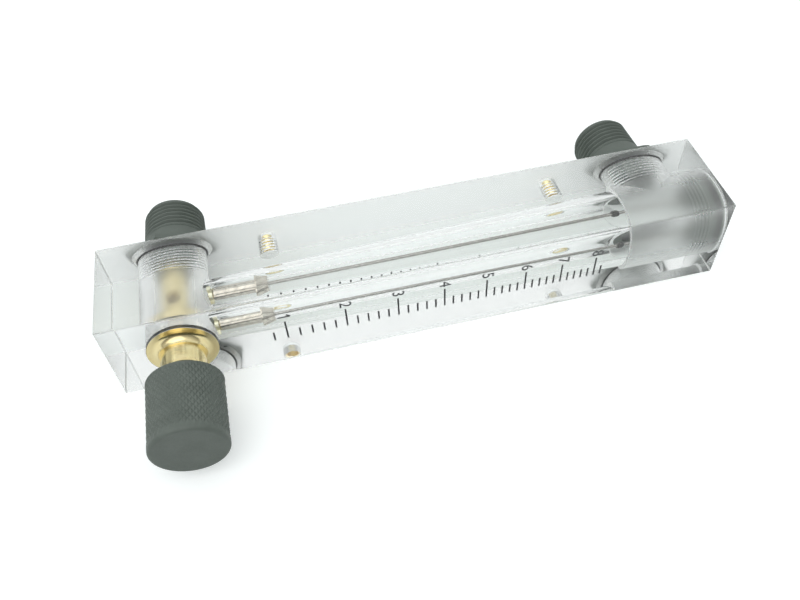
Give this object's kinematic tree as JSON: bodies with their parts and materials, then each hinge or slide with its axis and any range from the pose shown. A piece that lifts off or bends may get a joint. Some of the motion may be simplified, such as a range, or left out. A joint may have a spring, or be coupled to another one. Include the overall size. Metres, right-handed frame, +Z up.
{
  "type": "rotameter",
  "caption": "Clear block flow meter: tapered metering bore with a guided float, needle valve with knurled knob, and two threaded pipe fittings at the back.",
  "frame": {"origin": "middle of the block's long lower side, on which the meter lies", "axes": "+X along the metering bore from inlet to outlet, -Y the front face with valve and scale, +Y the back face with the pipe fittings, +Z up"},
  "size_m": [0.2032, 0.0956, 0.0318],
  "materials": {
    "clear_acrylic": "polished clear, frosted in the drilled ports",
    "brass": "turned, satin",
    "black_plastic": "satin black",
    "seal_rubber": "matt",
    "dull_steel": "turned",
    "bright_steel": "ground",
    "dark_plastic": "satin",
    "white_plastic": "smooth"
  },
  "bodies": {
    "housing": {"block": "clear_acrylic", "valve_bonnet": "brass", "bonnet_o_ring": "seal_rubber", "inlet_fitting": "black_plastic", "inlet_o_ring": "seal_rubber", "outlet_fitting": "black_plastic", "outlet_o_ring": "seal_rubber", "end_plug": "black_plastic", "end_plug_o_ring": "seal_rubber", "guide_rod": "bright_steel", "upper_float_stop": "dark_plastic", "rod_guide": "brass", "mounting_inserts": "brass", "valve_seat": "white_plastic", "nose_o_ring": "seal_rubber"},
    "float": {"float": "dull_steel"},
    "stem_seal": {"stem_o_ring": "seal_rubber"},
    "valve_spindle": {"valve_stem": "bright_steel", "knob": "black_plastic", "knob_set_screw": "bright_steel", "stem_retaining_ring": "bright_steel"}
  },
  "joints": [
    {"name": "float_slide", "type": "slide", "parent": "housing", "child": "float", "axis": [1, 0, 0], "range_m": [0, 0.1173]},
    {"name": "valve_travel", "type": "slide", "parent": "housing", "child": "stem_seal", "axis": [0, -1, 0], "range_m": [-0.00238, 0.00238]},
    {"name": "knob_turn", "type": "hinge", "parent": "stem_seal", "child": "valve_spindle", "pos_m": [-0.0791, -0.03, 0.01588], "axis": [0, -1, 0], "range_deg": [-1080, 1080]}
  ],
  "couplings": [
    {"joint": "knob_turn", "follows": "valve_travel", "rad_per_m": 7915.8}
  ]
}
